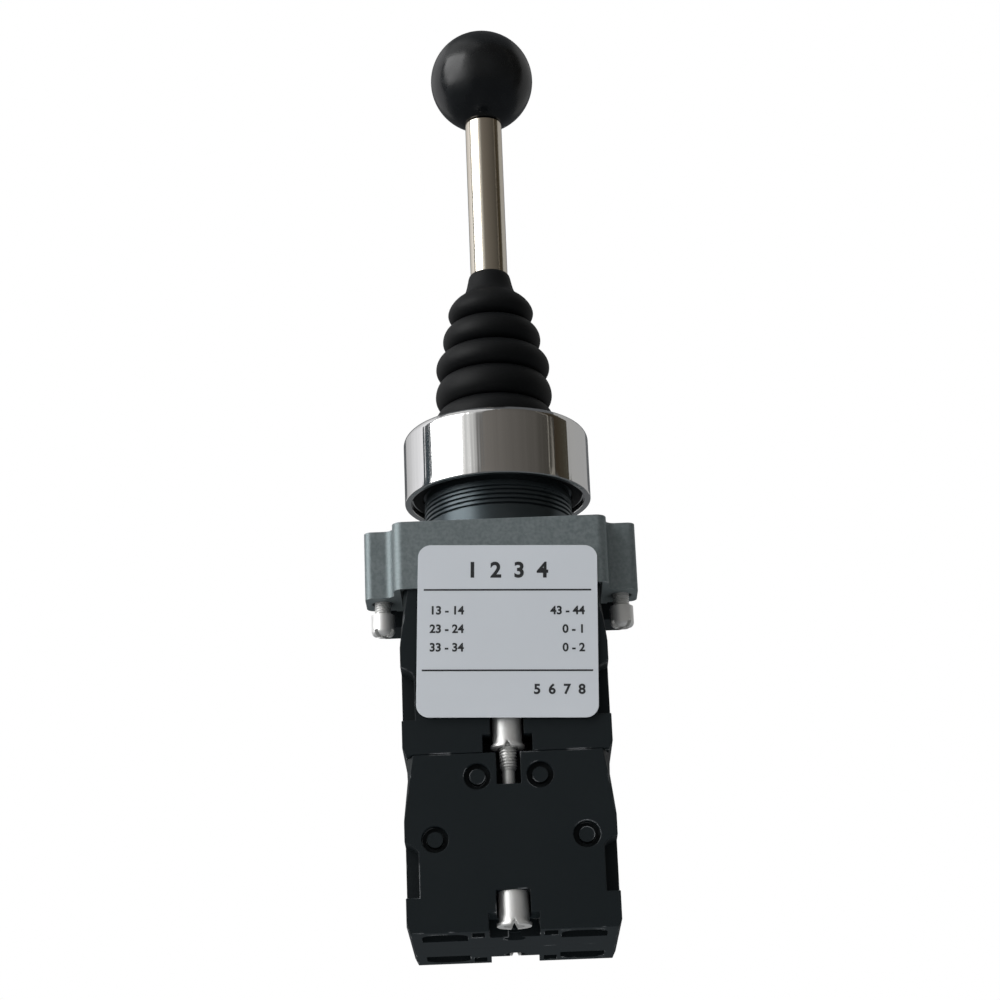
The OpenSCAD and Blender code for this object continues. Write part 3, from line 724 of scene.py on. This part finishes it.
def thread_sleeve(name, x, y, crest, root, pitch, low, high):
    """A tube round (x, y) whose outside is a thread: thread_radius at each height and angle, eight
    heights to a turn."""
    z = np.linspace(low, high, int((high - low) / pitch * 8) + 1)[:, None]
    t = np.linspace(0, 2 * np.pi, 40, endpoint=False)
    outer = thread_radius(z, t, root, crest=crest, root=root, pitch=pitch, top=high, end=low)
    r = np.vstack([outer, np.full((2, len(t)), root - 0.12)])
    z = np.vstack([z, [[high], [low]]]) + 0 * t
    rings = np.stack([x + r * np.cos(t), y + r * np.sin(t), z], -1) * MM
    return settle(skin(name, rings, nickel, wrap=True), "root", "nickel")


# %% Fixing screws and clamp screws
SCREW_Y, SCREW_CREST, SCREW_ROOT, SCREW_PITCH = 15.8, 1.7, 1.4, 0.6
for side, row in BLOCKS:
    node_name, top, y = f"{side}_{row}_screw", ROW_TOP[row], SIDES[side] * SCREW_Y
    piece = rounded_copy(node_name, node_name.capitalize(), 0.12, cut=top - 31.2)
    slimmed(piece, [(0, y)], SCREW_CREST, SCREW_ROOT, top - 3.1, top + 5.9)
    settle(piece, "root", "nickel", node_name)
    thread_sleeve(f"{piece.name}_thread", 0, y, SCREW_CREST, SCREW_ROOT, SCREW_PITCH, top - 2.8, top + 5.5)

CLAMPS = {"Left": (-23.5, -9.6), "Right": (23.5, -9.6)}
CLAMP_CREST, CLAMP_ROOT, CLAMP_PITCH = 1.6, 1.35, 0.5
piece = rounded_copy("clamp_screws", "Clamp_screws", 0.15)
slimmed(piece, CLAMPS.values(), CLAMP_CREST, CLAMP_ROOT, -26.5, -10.2)
settle(piece, "root", "nickel", "clamp_screws")
for hand, (x, y) in CLAMPS.items():
    thread_sleeve(f"{hand}_clamp_screw_thread", x, y, CLAMP_CREST, CLAMP_ROOT, CLAMP_PITCH, -25.85, -10.5)

# %% [markdown]
# ## Springs
# Eight coil springs bring the rods and the plungers back. Each one is a round wire on a helix whose
# first and last turns lie flat, as on a ground spring.

# %% Coil springs


def coil_spring(node, x, y, mid, wire, low, high, turns):
    """Wire centre at angle 2 pi n: (x + mid cos, y + mid sin, low + wire + rise), where the rise is one
    wire thickness in the first and in the last turn and even between them."""
    n = np.linspace(0, turns, turns * 36 + 1)
    span, flat_rise = high - low - 2 * wire, 1.9 * wire
    rise = np.interp(n, [0, 1, turns - 1, turns], [0, flat_rise, span - flat_rise, span])[:, None]
    a = 2 * np.pi * n[:, None]
    b = np.linspace(0, 2 * np.pi, 12, endpoint=False)
    r, z = mid + wire * np.cos(b), low + wire + rise
    rings = np.stack([x + r * np.cos(a), y + r * np.sin(a), z + wire * np.sin(b)], -1)
    centres = np.hstack([x + mid * np.cos(a), y + mid * np.sin(a), z])
    piece = skin(node.capitalize(), rings * MM, steel, poles=centres[[0, -1]] * MM)
    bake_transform(piece)
    return settle(piece, None, node_slot[node], node)


OUT = 9.6
RODS = {"front": (0, -OUT), "back": (0, OUT), "left": (-OUT, 0), "right": (OUT, 0)}
for side, (x, y) in RODS.items():
    coil_spring(f"{side}_rod_spring", x, y, 2.1, 0.25, -15.0, -5.0, 6)
for side, row in BLOCKS:
    low, high = ROW_TOP[row] - 29.4, ROW_TOP[row] - 20.0
    coil_spring(f"{side}_{row}_spring", 0, SIDES[side] * OUT, 2.4, 0.22, low, high, 6)

# %% [markdown]
# ## Print on the label
# The label carries two thin rules and plain numbers, grouped as on a contact block's own plate. Every
# line is typeset flat, thickened a little and laid on the plate, which sits slightly crooked.

# %% Rules and numbers


PRINT_HALF = 0.012


def typeset(words, size, x, z, align):
    """Points and faces of a line of digits, in millimetres on the label: x to the right and z up from
    its centre."""
    curve = bpy.data.curves.new("Digits", "FONT")
    curve.body, curve.size, curve.extrude, curve.align_x = words, size, PRINT_HALF, align
    curve.offset = 0.032 * size
    holder = placed("Digits", curve)
    bpy.context.view_layer.update()
    finished = holder.evaluated_get(bpy.context.evaluated_depsgraph_get())
    mesh = bpy.data.meshes.new_from_object(finished)
    flat = points_of(mesh)
    faces = [list(f.vertices) for f in mesh.polygons]
    bpy.data.objects.remove(holder)
    return np.stack([flat[:, 0] + x, -flat[:, 2], flat[:, 1] + z], -1), faces


def rule(half_length, z):
    """Points and faces of a thin bar across the label."""
    corners = np.array([(x, y, z + d) for x in (-half_length, half_length)
                        for y in (-PRINT_HALF, PRINT_HALF) for d in (-RULE_HALF, RULE_HALF)])
    return corners, [[0, 1, 3, 2], [4, 6, 7, 5], [0, 4, 5, 1], [2, 3, 7, 6], [0, 2, 6, 4], [1, 5, 7, 3]]


# %% The label's print
RULE_HALF = 0.17
LEFT_EDGE, RIGHT_EDGE, PAIR_SIZE = -15, 14.9, 2.3
LABEL_AT, LABEL_TURN = (0.85, -19.905, -32.7), math.radians(2.2)
lines = [rule(16.2, 8.1), rule(16.4, -8.0), typeset("1  2  3  4", 4.3, 0, 10.7, "CENTER")]
for edge, align, pairs in ((LEFT_EDGE, "LEFT", ("13 - 14", "23 - 24", "33 - 34")),
                           (RIGHT_EDGE, "RIGHT", ("43 - 44", "0 - 1", "0 - 2"))):
    for pair, z in zip(pairs, (3.2, -0.5, -4.2)):
        lines.append(typeset(pair, PAIR_SIZE, edge, z, align))
lines.append(typeset("5  6  7  8", 2.7, RIGHT_EDGE, -12.6, "RIGHT"))

starts = np.cumsum([0] + [len(line_points) for line_points, line_faces in lines])
faces = [[i + int(start) for i in face]
         for start, (line_points, line_faces) in zip(starts, lines) for face in line_faces]
across, out_of, upwards = np.vstack([line_points for line_points, line_faces in lines]).T
cos_turn, sin_turn = math.cos(LABEL_TURN), math.sin(LABEL_TURN)
laid = np.stack([across * cos_turn + upwards * sin_turn, out_of,
                 upwards * cos_turn - across * sin_turn], -1) + LABEL_AT
print_mesh = bpy.data.meshes.new("Label_print")
print_mesh.from_pydata((laid * MM).tolist(), [], faces)
print_mesh.materials.append(label_ink)
settle(placed("Label_print", print_mesh), "root", "label")
